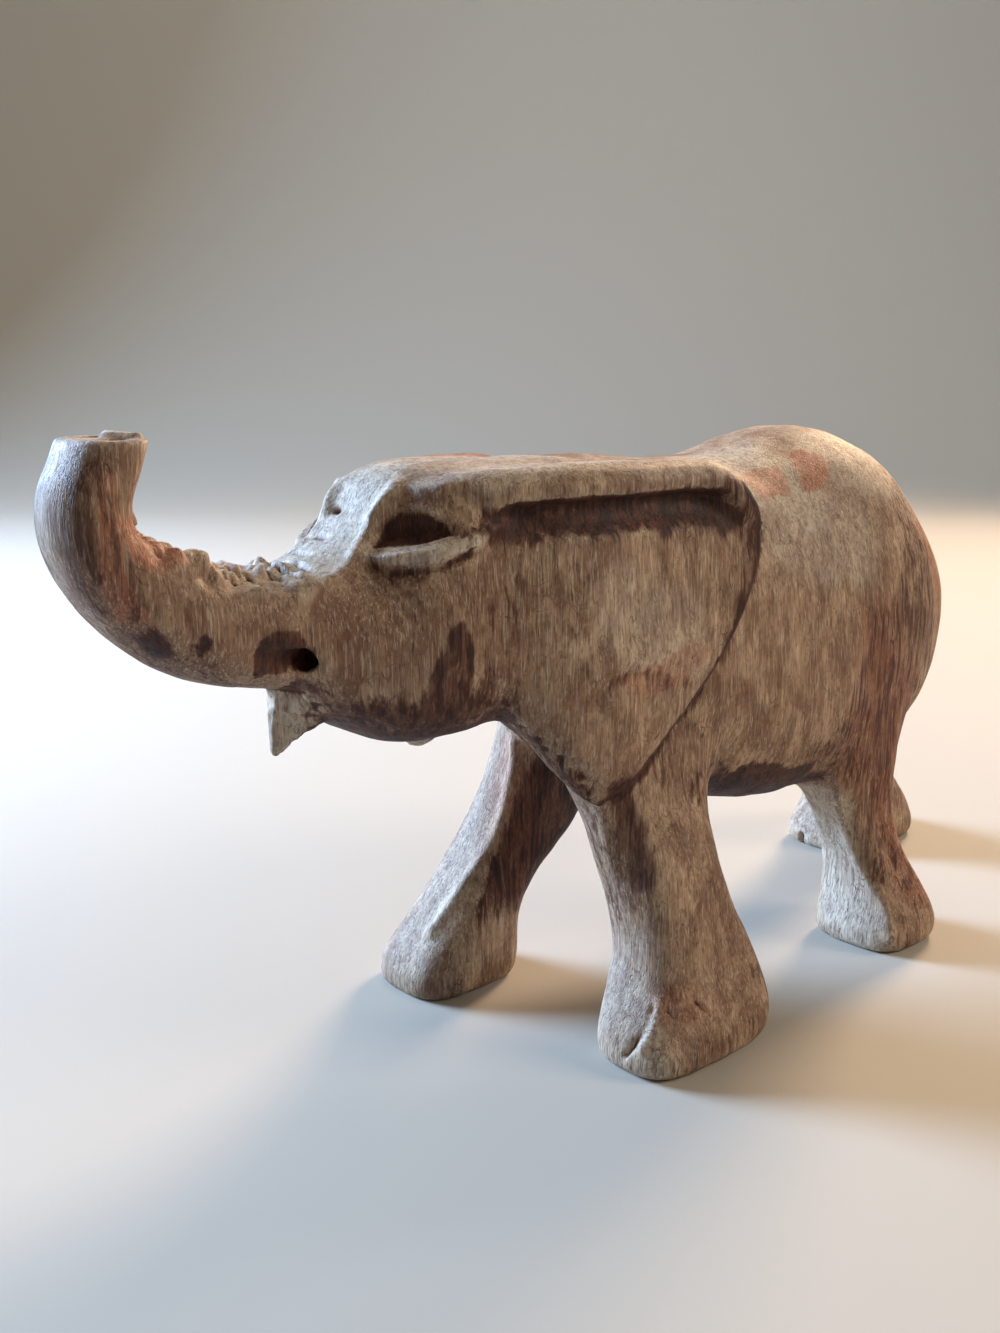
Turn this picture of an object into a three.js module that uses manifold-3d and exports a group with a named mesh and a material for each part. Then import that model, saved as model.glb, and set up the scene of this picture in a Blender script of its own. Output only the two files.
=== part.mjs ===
// A walking elephant with its trunk raised, carved by hand from one block of wood.
// It stands on its own four feet and looks towards -X, with +Z up. Its left flank faces -Y.
import * as THREE from 'three';
import { LoftGeometry } from 'three/addons/geometries/LoftGeometry.js';
import { mergeVertices } from 'three/addons/utils/BufferGeometryUtils.js';
import Module from 'manifold-3d';

const wasm = await Module();
wasm.setup();

// Driving sizes in millimetres
const height = 153;
const tuskHoleDiameter = 5;
const tuskHoleDepth = 17;
const nostrilDiameter = 4.6;
const nostrilDepth = 4.5;
const wrinkleDepth = 1.5;
const wrinklePitch = 4.9;
const earGrooveDepth = 4.2;
const eyeSocketDepth = 5;
const toeGrooveWidth = 2.6;
const toeGrooveDepth = 2.4;
const crackWidth = 1.9;
const crackDepth = 4.5;

// The figure's own forms are shares of its height. Every station below is in per cent of it,
// and the drawing's zero is on the floor midway between the two pairs of feet.
const share = height / 100;

// One station of a form between its neighbours, on a curve that passes through all of them
function blend(before, from, to, after, t) {
  return from.map((value, i) => {
    const slopeFrom = (to[i] - before[i]) / 2;
    const slopeTo = (after[i] - value) / 2;
    const rise = to[i] - value;
    return value + t * (slopeFrom + t * (3 * rise - 2 * slopeFrom - slopeTo + t * (slopeFrom + slopeTo - 2 * rise)));
  });
}

// More stations, evenly spread between the ones that were given
function refine(stations, steps) {
  const finer = [];
  for (let i = 0; i < stations.length - 1; i++) {
    const before = stations[Math.max(i - 1, 0)];
    const after = stations[Math.min(i + 2, stations.length - 1)];
    for (let step = 0; step < steps; step++) {
      finer.push(blend(before, stations[i], stations[i + 1], after, step / steps));
    }
  }
  finer.push(stations[stations.length - 1]);
  return finer;
}

// A number from 0 to 1 that swells smoothly to 1 between from and to, and falls back outside them
function swell(value, from, to, fade) {
  const rise = THREE.MathUtils.smoothstep(value, from - fade, from + fade);
  return rise * (1 - THREE.MathUtils.smoothstep(value, to - fade, to + fade));
}

// The rounded-square curve that a knife leaves: a squareness of 2 is an ellipse, 4 is nearly a box
function roundedSquare(angle, squareness) {
  const power = 2 / squareness;
  const along = Math.cos(angle);
  const up = Math.sin(angle);
  return [Math.sign(along) * Math.abs(along) ** power, Math.sign(up) * Math.abs(up) ** power];
}

// A closed solid from its rings of points, in per cent of the height. Each end is closed by a
// last ring that has shrunk to the middle of the one before it.
function solidFromRings(rings) {
  const scaled = rings.map((ring) => ring.map((point) => point.clone().multiplyScalar(share)));
  const closed = [shrunk(scaled[0]), ...scaled, shrunk(scaled[scaled.length - 1])];
  return solidFrom(new LoftGeometry(closed));
}

function shrunk(ring) {
  const middle = new THREE.Vector3();
  ring.forEach((point) => middle.addScaledVector(point, 1 / ring.length));
  return ring.map(() => middle.clone());
}

// Any closed geometry as a solid with its faces pointing out
function solidFrom(geometry) {
  const bare = new THREE.BufferGeometry();
  bare.setAttribute('position', geometry.attributes.position);
  bare.setIndex(geometry.index);
  const merged = mergeVertices(bare, 1e-4);
  const corners = [];
  for (let i = 0; i < merged.index.count; i += 3) {
    const [a, b, c] = [merged.index.getX(i), merged.index.getX(i + 1), merged.index.getX(i + 2)];
    if (a !== b && b !== c && c !== a) {
      corners.push(a, b, c);
    }
  }
  const vertProperties = new Float32Array(merged.attributes.position.array);
  const triVerts = new Uint32Array(corners);
  if (signedVolume(vertProperties, triVerts) < 0) {
    triVerts.reverse();
  }
  return new wasm.Manifold(new wasm.Mesh({ numProp: 3, vertProperties, triVerts }));
}

function signedVolume(points, corners) {
  const [a, b, c] = [new THREE.Vector3(), new THREE.Vector3(), new THREE.Vector3()];
  let volume = 0;
  for (let i = 0; i < corners.length; i += 3) {
    a.fromArray(points, corners[i] * 3);
    b.fromArray(points, corners[i + 1] * 3);
    c.fromArray(points, corners[i + 2] * 3);
    volume += a.dot(b.cross(c)) / 6;
  }
  return volume;
}

// The barrel of the body from chest to rump.
// Each station: place along X, half width, underside, back, how much the back narrows, squareness
const barrel = [
  [-70, 8, 68, 88, 0.0, 2.2],
  [-67, 14, 63, 92, 0.0, 2.3],
  [-60, 20, 54, 94.2, 0.0, 2.4],
  [-46, 22.5, 44, 94, 0.05, 2.6],
  [-30, 23.4, 36, 92.8, 0.1, 2.8],
  [-15, 23.6, 31.8, 92.2, 0.12, 2.8],
  [0, 23.2, 30.2, 95.2, 0.14, 2.7],
  [10, 22.6, 30.4, 96.6, 0.14, 2.6],
  [20, 21.8, 31.5, 94.6, 0.13, 2.5],
  [30, 20.4, 33, 90, 0.1, 2.4],
  [38.6, 17.6, 37.5, 82.5, 0.06, 2.3],
  [45.4, 13.6, 43.5, 74.5, 0.0, 2.2],
  [49.8, 8.6, 50, 66.4, 0.0, 2.1],
  [51.6, 2.6, 55, 61, 0.0, 2.0],
];

function body() {
  const sides = 28;
  const rings = refine(barrel, 2).map(([x, halfWidth, underside, back, narrowing, squareness]) => {
    const ring = [];
    for (let i = 0; i < sides; i++) {
      const [across, up] = roundedSquare((i / sides) * 2 * Math.PI, squareness);
      const y = halfWidth * across * (1 - narrowing * up);
      ring.push(new THREE.Vector3(x, y, (underside + back) / 2 + ((back - underside) / 2) * up));
    }
    return ring;
  });
  return solidFromRings(rings);
}

// The head from the neck to the root of the trunk. Each station: place along X, half width at
// the ridge beside the forehead, at the temple and at the cheek, jaw line, top
const skull = [
  [-56, 10, 16, 17, 62, 93.6],
  [-66, 10, 17, 18.4, 57.8, 94.5],
  [-75, 10, 17.6, 18.8, 55.8, 94.7],
  [-80, 9, 16.6, 18.6, 55.2, 94.4],
  [-84, 7.5, 14.8, 17.6, 55.3, 93.2],
  [-87, 6.5, 12.6, 16.4, 55.4, 90.6],
  [-89.5, 6, 10.8, 15.2, 56.4, 87],
  [-92, 6, 10, 13.8, 57.6, 84.4],
  [-95.5, 6.2, 9.6, 12.4, 59.8, 82.4],
  [-99.5, 6.6, 9.2, 10.8, 63, 81.2],
  [-104, 5, 6.6, 7.4, 69, 78.5],
];

function head() {
  const sides = 26;
  const rings = refine(skull, 2).map(([x, ridge, temple, cheek, jaw, top]) => {
    const tall = top - jaw;
    const flank = [
      [cheek * 0.55, jaw + 0.02 * tall],
      [cheek * 0.92, jaw + 0.12 * tall],
      [cheek, jaw + 0.32 * tall],
      [cheek * 0.98, jaw + 0.56 * tall],
      [temple, jaw + 0.82 * tall],
      [ridge, top - 0.02 * tall],
    ];
    const corners = [new THREE.Vector3(x, 0, jaw)];
    flank.forEach(([y, z]) => corners.push(new THREE.Vector3(x, y, z)));
    corners.push(new THREE.Vector3(x, 0, top));
    flank.reverse().forEach(([y, z]) => corners.push(new THREE.Vector3(x, -y, z)));
    return new THREE.CatmullRomCurve3(corners, true, 'catmullrom', 0.4).getSpacedPoints(sides).slice(0, sides);
  });
  return solidFromRings(rings);
}

// The trunk: out of the face, down a little, then up and back to the flat tip.
// Each station: place along X, height, half thickness, half width
const trunkLine = [
  [-92, 73.5, 8.4, 9.8],
  [-98, 73.5, 8.8, 10.3],
  [-104.5, 73.9, 8.2, 10],
  [-111.5, 75.2, 7.8, 9.4],
  [-118, 77.9, 7, 8.9],
  [-123, 81.8, 6.3, 8.5],
  [-127.2, 87, 5, 8],
  [-127.8, 92.5, 4.8, 7.4],
  [-126, 97.2, 4.8, 7],
  [-125, 100, 4.7, 7],
];

function trunk() {
  const sides = 20;
  const squareness = 2.5;
  const pitch = wrinklePitch / share;
  const depth = wrinkleDepth / share;
  const line = new THREE.CatmullRomCurve3(trunkLine.map(([x, z]) => new THREE.Vector3(x, 0, z)));
  const length = line.getLength();
  const count = 44;
  const rings = [];
  for (let i = 0; i <= count; i++) {
    const t = line.getUtoTmapping(i / count);
    const centre = line.getPoint(t);
    const ahead = line.getTangent(t);
    const inwards = new THREE.Vector3(ahead.z, 0, -ahead.x);
    const place = t * (trunkLine.length - 1);
    const from = Math.min(Math.floor(place), trunkLine.length - 2);
    const [, , thick, wide] = trunkLine[from].map((value, k) => {
      return THREE.MathUtils.lerp(value, trunkLine[from + 1][k], place - from);
    });
    const along = (i / count) * length;
    const wrinkled = swell(along, 8, length - 12, 3);
    const wrinkle = depth * wrinkled * (1 - Math.abs(Math.sin((Math.PI * along) / pitch)));
    // The last ring lies level, so that the tip is cut off flat
    const levelling = THREE.MathUtils.smoothstep(i / count, 0.75, 1);
    const side = inwards.lerp(new THREE.Vector3(1, 0, 0), levelling).normalize();
    const ring = [];
    for (let k = 0; k < sides; k++) {
      const [across, up] = roundedSquare((k / sides) * 2 * Math.PI, squareness);
      const crest = THREE.MathUtils.smoothstep(up, 0.2, 0.9);
      const point = centre.clone().addScaledVector(side, thick * up - wrinkle * crest);
      point.y = wide * across;
      ring.push(point);
    }
    rings.push(ring);
  }
  return solidFromRings(rings);
}

// The pointed lower lip, a wedge that hangs from the jaw.
// Each station: place along X, half width at its top, half width at its bottom, bottom, top
const lipWedge = [
  [-102.9, 0.7, 0.5, 55.8, 66],
  [-102.3, 1.6, 0.7, 54.9, 66.5],
  [-98.6, 6.2, 2.6, 58.2, 67],
  [-95, 9.5, 4.6, 60, 67],
  [-89, 12, 7, 60.6, 67],
];

function lowerLip() {
  const rings = lipWedge.map(([x, upper, lower, bottom, top]) => [
    new THREE.Vector3(x, -lower, bottom),
    new THREE.Vector3(x, -upper, top - 4),
    new THREE.Vector3(x, -upper, top),
    new THREE.Vector3(x, upper, top),
    new THREE.Vector3(x, upper, top - 4),
    new THREE.Vector3(x, lower, bottom),
  ]);
  return solidFromRings(rings);
}

// One ear as a plate that stands off the neck and shoulder, with its top rolled over.
// Each station: place along X, bottom edge, top edge, how far out it stands, thickness
const earPlate = [
  [-82.5, 89, 92.6, 11.5, 4],
  [-79.6, 86, 93.6, 14.6, 5],
  [-77, 64, 94.1, 17.2, 6],
  [-74, 59.6, 94.4, 18.8, 8],
  [-70, 55, 94.6, 20.8, 9],
  [-66.6, 50, 94.7, 22.6, 8],
  [-63.6, 46, 94.8, 23.4, 7],
  [-60.6, 43.8, 94.8, 24, 6],
  [-57, 44.2, 94.8, 24.4, 5.6],
  [-53, 47.6, 94.8, 24.8, 5.4],
  [-48, 52.2, 94.8, 25, 5.2],
  [-43.8, 56.2, 94.7, 25.3, 5],
  [-39.6, 60.6, 94.4, 25.6, 4.6],
  [-36.2, 65, 93.4, 25.8, 4.2],
  [-33.2, 70, 90.8, 26, 3.8],
  [-30.8, 75.4, 87.4, 26.1, 3.2],
  [-29.6, 80, 84.2, 26.2, 2.4],
];

// How far below the top edge the lines of the rolled rim and of the groove under it run
const rimLines = [0.9, 2.6, 4.4];
const grooveLines = [5.4, 8, 10.2];

// The far ear is cut lower than the near one, most of all in front, and its rear top corner
// leans further forward.
function ear(side, lean, drop) {
  const rows = 8;
  // High up the ear isn't cut free of the neck: the wood behind it is left standing this far in
  const backing = 7.5;
  const groove = earGrooveDepth / share;
  const [tip, crown] = [44, 94];
  const rings = earPlate.map(([x, bottom, drawnTop, out, thickness]) => {
    const rearward = THREE.MathUtils.smoothstep(x, -72, -52);
    const top = drawnTop - drop * (2 - rearward);
    const leanAt = (z) => (lean * rearward * (z - tip)) / (crown - tip);
    const tall = top - bottom;
    const fit = Math.min(1, tall / 22);
    const inGroove = swell(x, -74.5, -36.5, 2.5);
    const outer = [[0, 3]];
    rimLines.forEach((below, i) => outer.push([below * fit, [0.7, -0.5, -0.4][i]]));
    grooveLines.forEach((below, i) => outer.push([below * fit, i < 2 ? groove * inGroove * (1 - 0.3 * i) : -0.1]));
    const start = grooveLines[grooveLines.length - 1] * fit;
    for (let row = 1; row <= rows; row++) {
      const down = row / rows;
      const belly = Math.sin(Math.PI * down) * 1.1 * fit;
      outer.push([start + (tall - start) * down, (row === rows ? 1.2 : 0) - belly]);
    }
    const ring = outer.map(([below, inset]) => {
      const z = top - below;
      return new THREE.Vector3(x - leanAt(z), side * (out - Math.min(inset, thickness * 0.6)), z);
    });
    for (let row = 3; row >= 0; row--) {
      const z = top - 0.8 - (tall - 1.6) * (row / 3);
      const inner = out - thickness - backing * THREE.MathUtils.smoothstep(z, 60, 82);
      ring.push(new THREE.Vector3(x - leanAt(z), side * inner, z));
    }
    return ring;
  });
  return solidFromRings(rings);
}

// The four legs. Each station: height, front, rear, inner side, outer side
const nearFrontLeg = [
  [0, -55.6, -28, -15.8, -32],
  [1.2, -56.6, -27, -15.2, -33],
  [4, -56.6, -25.8, -14.8, -33],
  [9, -54, -26.2, -14, -31.6],
  [16, -51.2, -27.8, -13.2, -29.4],
  [22, -51.6, -31, -12.8, -28.2],
  [29, -53.4, -34.2, -12.4, -27.4],
  [36, -55.6, -34.6, -11.4, -25.8],
  [43, -58.4, -32.6, -9.6, -23.6],
  [52, -61.4, -30.4, -7, -22.4],
  [62, -61, -32, -5, -19],
];
const farFrontLeg = [
  [0, -64.6, -43, 12.6, 30.2],
  [1.2, -65.4, -42, 12, 31],
  [4, -65, -41.6, 11.8, 31],
  [9, -61.6, -42.2, 11.8, 29.4],
  [14.5, -57.8, -41, 11.8, 27.8],
  [21, -53.4, -35.4, 11.2, 26.4],
  [28, -49.4, -28.4, 10.4, 25],
  [37, -45.8, -23.6, 9.2, 23.8],
  [46, -43.6, -20.6, 7.4, 23],
  [58, -42, -20, 5, 20],
];
const nearHindLeg = [
  [0, 11, 28.4, -10.4, -28.4],
  [1.2, 10, 29.4, -9.8, -29.6],
  [4, 10.2, 29.4, -9.6, -29.4],
  [9, 12, 27.6, -9.6, -27.2],
  [15, 12.2, 24.8, -9.6, -24.8],
  [21, 10.4, 23, -9.2, -22.8],
  [27, 7.4, 22.6, -8.2, -21.8],
  [33, 3.2, 24, -6.6, -21.8],
  [41, -1, 28, -4.6, -21.8],
  [54, -2, 35, -3, -19.5],
];
const farHindLeg = [
  [0, 49.6, 78, 6.4, 25.8],
  [1.2, 48.6, 79.2, 5.8, 26.6],
  [4, 49, 78.6, 5.8, 26.6],
  [9, 52.2, 75, 6.4, 25.2],
  [15, 52, 69.4, 7, 23.6],
  [24, 46, 61.4, 7, 22],
  [33, 37, 55, 6.6, 21.2],
  [43, 27, 51, 4.8, 20.4],
  [55, 20, 47, 3, 18],
];

function leg(stations) {
  const sides = 18;
  const squareness = 3.4;
  const rings = refine(stations, 2).map(([z, front, rear, inner, outer]) => {
    const ring = [];
    for (let i = 0; i < sides; i++) {
      const [along, across] = roundedSquare(((i + 0.5) / sides) * 2 * Math.PI, squareness);
      const x = (front + rear) / 2 + ((rear - front) / 2) * along;
      const y = (inner + outer) / 2 + (Math.abs(outer - inner) / 2) * across;
      ring.push(new THREE.Vector3(x, y, Math.max(z, 0)));
    }
    return ring;
  });
  return solidFromRings(rings);
}

// A triangular eye socket under the brow, cut into one side of the head
const socketCorners = [[-91, 84.9], [-87.6, 89.5], [-85.4, 90.8], [-81.6, 86.8], [-87.6, 84.6]];

function eyeSocket(side) {
  const depth = eyeSocketDepth / share;
  const count = socketCorners.length;
  const middle = socketCorners.reduce((sum, [x, z]) => [sum[0] + x / count, sum[1] + z / count], [0, 0]);
  // The cheek slants, so the socket's rim stands further out the further back it lies
  const rim = (x) => THREE.MathUtils.mapLinear(x, -91, -81.6, 8.5, 15.5);
  const ringAt = (out, size) => socketCorners.map(([x, z]) => {
    const y = rim(x) + out;
    return new THREE.Vector3(middle[0] + (x - middle[0]) * size, side * y, middle[1] + (z - middle[1]) * size);
  });
  return solidFromRings([ringAt(-depth, 0.55), ringAt(0, 1), ringAt(8, 1.5)]);
}

// The crescent of the lower lid, which stands out under the socket
// Each station: place along X, how far out it starts, height, size
const lidLine = [
  [-92.4, 7, 83.4, 0.4],
  [-90, 10.8, 82.8, 1],
  [-85.5, 14.6, 83.2, 1.5],
  [-80.5, 16.8, 84.8, 1.4],
  [-76, 17.8, 86.8, 0.5],
];

function lowerLid(side) {
  const rings = lidLine.map(([x, y, z, size]) => {
    return [[-3, 0.4], [0.5, 0.9], [1, -0.1], [0.3, -1], [-3, -1]].map(([out, up]) => {
      return new THREE.Vector3(x, side * (y + out * size), z + up * size);
    });
  });
  return solidFromRings(rings);
}

// A straight round hole from a point on the surface inwards, in per cent of the height
function roundHole(mouth, direction, diameter, depth) {
  const reach = 12;
  const cylinder = new THREE.CylinderGeometry(diameter / 2, diameter / 2, depth + reach, 16);
  cylinder.translate(0, (depth - reach) / 2, 0);
  cylinder.applyQuaternion(new THREE.Quaternion().setFromUnitVectors(new THREE.Vector3(0, 1, 0), direction));
  cylinder.translate(mouth.x * share, mouth.y * share, mouth.z * share);
  return solidFrom(cylinder);
}

function tuskHole(side) {
  const inward = new THREE.Vector3(0.9, -side * 0.42, 0.1).normalize();
  return roundHole(new THREE.Vector3(-104, side * 9, 70.2), inward, tuskHoleDiameter, tuskHoleDepth);
}

function nostril(side) {
  const down = new THREE.Vector3(0, 0, -1);
  return roundHole(new THREE.Vector3(-124.6, side * 3, 100), down, nostrilDiameter, nostrilDepth);
}

// A V-shaped cut between two points of a surface, widest at the surface
function groove(from, to, outward, width, depth) {
  const along = to.clone().sub(from).normalize();
  const across = new THREE.Vector3().crossVectors(along, outward).normalize();
  const rings = [from, to].map((end) => [
    end.clone().addScaledVector(outward, -depth),
    end.clone().addScaledVector(outward, depth).addScaledVector(across, width),
    end.clone().addScaledVector(outward, depth).addScaledVector(across, -width),
  ]);
  return solidFromRings(rings);
}

// The toe line of the near front foot, and a drying crack in the rim of each far foot
function toeCuts() {
  const width = toeGrooveWidth / share;
  const depth = toeGrooveDepth / share;
  const crack = crackWidth / share;
  const crackReach = crackDepth / share;
  return [
    groove(new THREE.Vector3(-53.5, -31.5, 13), new THREE.Vector3(-58.2, -29.5, 3),
      new THREE.Vector3(-0.6, -0.8, 0), width, depth),
    groove(new THREE.Vector3(-44.5, 12, 5.5), new THREE.Vector3(-45.5, 12, -1),
      new THREE.Vector3(0, -1, 0), crack, crackReach),
    groove(new THREE.Vector3(49.5, 19, 3), new THREE.Vector3(49.5, 19.6, -1),
      new THREE.Vector3(-1, 0, 0), crack, crackReach),
  ];
}

// The wrinkles of the trunk run on over the forehead, as three shallow notches across it
const foreheadNotches = [[-88.4, 88.6], [-91.4, 85], [-95, 82.7]];
const foreheadNotchReach = 5;

function foreheadCuts() {
  const depth = wrinkleDepth / share;
  return foreheadNotches.map(([x, z]) => {
    return groove(new THREE.Vector3(x, -foreheadNotchReach, z), new THREE.Vector3(x, foreheadNotchReach, z),
      new THREE.Vector3(-0.7, 0, 0.7), depth, depth);
  });
}

function carving() {
  const masses = [
    body(), head(), trunk(), lowerLip(), ear(-1, 0, 0), ear(1, 5, 1.6),
    leg(nearFrontLeg), leg(farFrontLeg), leg(nearHindLeg), leg(farHindLeg),
  ];
  const cuts = [eyeSocket(-1), eyeSocket(1), tuskHole(-1), tuskHole(1), nostril(-1), nostril(1),
    ...toeCuts(), ...foreheadCuts()];
  let solid = masses.reduce((whole, mass) => whole.add(mass));
  solid = cuts.reduce((whole, cut) => whole.subtract(cut), solid);
  return [lowerLid(-1), lowerLid(1)].reduce((whole, lid) => whole.add(lid), solid);
}

function geometryFrom(solid) {
  const mesh = solid.getMesh();
  const geometry = new THREE.BufferGeometry();
  geometry.setAttribute('position', new THREE.BufferAttribute(new Float32Array(mesh.vertProperties), 3));
  geometry.setIndex(new THREE.BufferAttribute(new Uint32Array(mesh.triVerts), 1));
  geometry.computeBoundingBox();
  const { min, max } = geometry.boundingBox;
  geometry.translate(-(min.x + max.x) / 2, -(min.y + max.y) / 2, -min.z);
  geometry.computeVertexNormals();
  return geometry;
}

const weatheredWood = new THREE.MeshStandardMaterial({ color: 0xa58f78, roughness: 0.62, metalness: 0 });
const elephant = new THREE.Mesh(geometryFrom(carving()), weatheredWood);
elephant.name = 'elephant';

const part = new THREE.Group();
part.add(elephant);

export default part;
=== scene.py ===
# %% [markdown]
# # A walking elephant, carved in one piece of wood
# The real object is a hand-sized elephant that someone roughed out of a block with a gouge, shaved with a
# knife, and then rubbed with stain and wax. Years of handling wore the high places pale and left the stain in
# the hollows. The CAD model gives its main masses as a faceted solid. This script takes that solid as a
# sculptor takes a roughed-out block: it rounds the facets, cuts the small carving, and finishes the wood.

# %% Load the part
import math

import bpy
import numpy as np
from mathutils import Matrix, Vector
from mathutils.kdtree import KDTree


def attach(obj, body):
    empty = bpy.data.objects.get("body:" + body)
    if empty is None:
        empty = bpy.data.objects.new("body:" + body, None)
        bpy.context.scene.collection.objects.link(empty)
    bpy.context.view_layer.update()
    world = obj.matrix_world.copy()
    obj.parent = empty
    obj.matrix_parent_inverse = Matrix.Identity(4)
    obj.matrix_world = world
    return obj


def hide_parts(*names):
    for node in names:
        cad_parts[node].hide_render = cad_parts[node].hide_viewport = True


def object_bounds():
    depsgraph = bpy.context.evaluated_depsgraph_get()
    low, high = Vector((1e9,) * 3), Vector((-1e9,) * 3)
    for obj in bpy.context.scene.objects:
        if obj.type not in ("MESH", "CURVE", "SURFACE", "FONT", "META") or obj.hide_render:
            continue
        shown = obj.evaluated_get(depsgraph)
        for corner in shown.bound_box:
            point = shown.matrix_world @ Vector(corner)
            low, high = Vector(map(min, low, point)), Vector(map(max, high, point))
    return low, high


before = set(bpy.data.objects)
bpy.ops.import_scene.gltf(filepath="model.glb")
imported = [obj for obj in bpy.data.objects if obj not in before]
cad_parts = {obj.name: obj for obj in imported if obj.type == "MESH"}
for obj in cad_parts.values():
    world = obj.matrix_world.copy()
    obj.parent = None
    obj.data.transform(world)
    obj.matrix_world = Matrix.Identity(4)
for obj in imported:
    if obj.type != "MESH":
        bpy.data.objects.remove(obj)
cad_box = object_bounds()
print("solid's box in metres:", [[round(value, 4) for value in corner] for corner in cad_box])

# %% [markdown]
# ## One measure for the whole carving
# A carver lays out a figure in shares of its height, so that the drawing works at any size. The solid was
# drawn that way, in per cent of the height, with zero on the floor midway between the front and hind feet.
# Every place below is given in that measure, and one function reads the part's metres in it.

# %% The carver's measure
HEIGHT = cad_box[1][2] - cad_box[0][2]
DRAWING_ZERO = np.array([0.04108, 0.00153, 0.0])  # where the drawing's zero lies in the part's frame, in metres


def per_cent(points):
    return (np.asarray(points, float) - DRAWING_ZERO) * 100 / HEIGHT


print("one per cent of the height is", round(HEIGHT * 10, 2), "mm")

# %% [markdown]
# ## Camera
# The carving is seen from in front of its left shoulder and a little above, from less than half a metre away.
# The short distance matters: it makes the near foot large and the rump recede. The camera is turned by its own
# three directions instead of angles, which keeps it level without any trial and error.

# %% Camera
LENS_MM, PICTURE_HEIGHT_MM = 37.81, 36
CAMERA_PLACE = (-0.27012, -0.24247, 0.17)

camera_data = bpy.data.cameras.new("camera")
camera_data.sensor_fit = "VERTICAL"
camera_data.sensor_height = PICTURE_HEIGHT_MM
camera_data.lens = LENS_MM
camera_data.clip_start = 0.01
camera = bpy.data.objects.new("camera", camera_data)
forward = Vector((0.6509, 0.7251, -0.2250)).normalized()
rightward = Vector((0.7442, -0.6680, 0.0)).normalized()
upward = rightward.cross(forward)
turn = Matrix((rightward, upward, -forward)).transposed()
camera.matrix_world = Matrix.Translation(CAMERA_PLACE) @ turn.to_4x4()
bpy.context.scene.collection.objects.link(camera)
bpy.context.scene.camera = camera
print("camera looks along", [round(value, 2) for value in forward])

# %% [markdown]
# ## A block that can be carved
# It could be subdivided, but its triangles are long and uneven where masses were joined. A voxel remesh
# wraps it instead in an even skin of small squares, one voxel across, so every later cut finds points where
# it needs them.

# %% Remesh the solid
VOXEL = 0.0007  # metres, about half of one per cent of the height

carving_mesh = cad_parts["elephant"].data.copy()
carving = bpy.data.objects.new("carved_elephant", carving_mesh)
bpy.context.scene.collection.objects.link(carving)


def apply_modifier(piece, kind, **settings):
    modifier = piece.modifiers.new(kind.lower(), kind)
    for name, value in settings.items():
        setattr(modifier, name, value)
    evaluated = piece.evaluated_get(bpy.context.evaluated_depsgraph_get())
    finished = bpy.data.meshes.new_from_object(evaluated)
    piece.modifiers.clear()
    piece.data = finished
    return finished


mesh = apply_modifier(carving, "REMESH", mode="VOXEL", voxel_size=VOXEL, use_smooth_shade=True)
print("skin has", len(mesh.vertices), "points")

# %% [markdown]
# ## Points as numbers
# Moving a quarter of a million points one at a time is slow in Python. Read into one table of numbers, they
# can all be moved in a single step. The table of edges says which points are neighbours, and averaging a
# value over neighbours is the whole of smoothing.

# %% Read the points and their neighbours
def read(piece, what="co"):
    source = piece.data.vertices if what == "co" else piece.data.vertex_normals
    numbers = np.empty(len(source) * 3, np.float32)
    source.foreach_get(what if what == "co" else "vector", numbers)
    return numbers.reshape(-1, 3).astype(float)


def write(piece, points):
    piece.data.vertices.foreach_set("co", np.asarray(points, np.float32).ravel())
    piece.data.update()


def edges_of(piece):
    numbers = np.empty(len(piece.data.edges) * 2, np.int32)
    piece.data.edges.foreach_get("vertices", numbers)
    return numbers.reshape(-1, 2)


def smoothed(values, edges, passes, share=0.5):
    """Moves every value towards the mean of its neighbours, by share of the way, passes times over."""
    first, second = edges[:, 0].copy(), edges[:, 1].copy()
    count = len(values)
    degree = np.bincount(edges.ravel(), minlength=count)
    columns = [column.copy() for column in values.reshape(count, -1).T]
    for _ in range(passes):
        for column in columns:
            sums = np.bincount(first, column[second], count) + np.bincount(second, column[first], count)
            column += share * (sums / degree - column)
    return np.stack(columns, axis=1).reshape(values.shape)


edges = edges_of(carving)
rough = read(carving)
print("read", len(rough), "points and", len(edges), "edges")

# %% [markdown]
# ## Soft zones
# A place on the carving is picked with a soft ball: one at its middle, nothing outside it, and a smooth
# slope between. Moved along a line of points it becomes a soft rope. Ropes say where the rasp should go easy, where
# a gouge cut runs and, later, where stain sits. A patch is a shape with corners, such as the eye socket: it is laid
# on its own best plane, and every point asks how far inside it lies.

# %% Ropes and patches
def ramp(values, start, stop):
    share = np.clip((values - start) / (stop - start), 0, 1)
    return share * share * (3 - 2 * share)


def distance_to_line(points, line):
    line = np.asarray(line, float)
    nearest = np.full(len(points), np.inf)
    for start, stop in zip(line[:-1], line[1:]):
        along = stop - start
        share = np.clip((points - start) @ along / max(along @ along, 1e-9), 0, 1)
        gap = points - start - share[:, None] * along
        nearest = np.minimum(nearest, np.sqrt(np.einsum("ij,ij->i", gap, gap)))
    return nearest


def rope(points, line, radius, soft=0.6):
    return 1 - ramp(distance_to_line(points, line), radius * (1 - soft), radius * (1 + soft))


def both_sides(line):
    """A line or patch of the left side, and its mirror image on the right."""
    return [line, [(x, -y, z) for x, y, z in line]]


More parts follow.
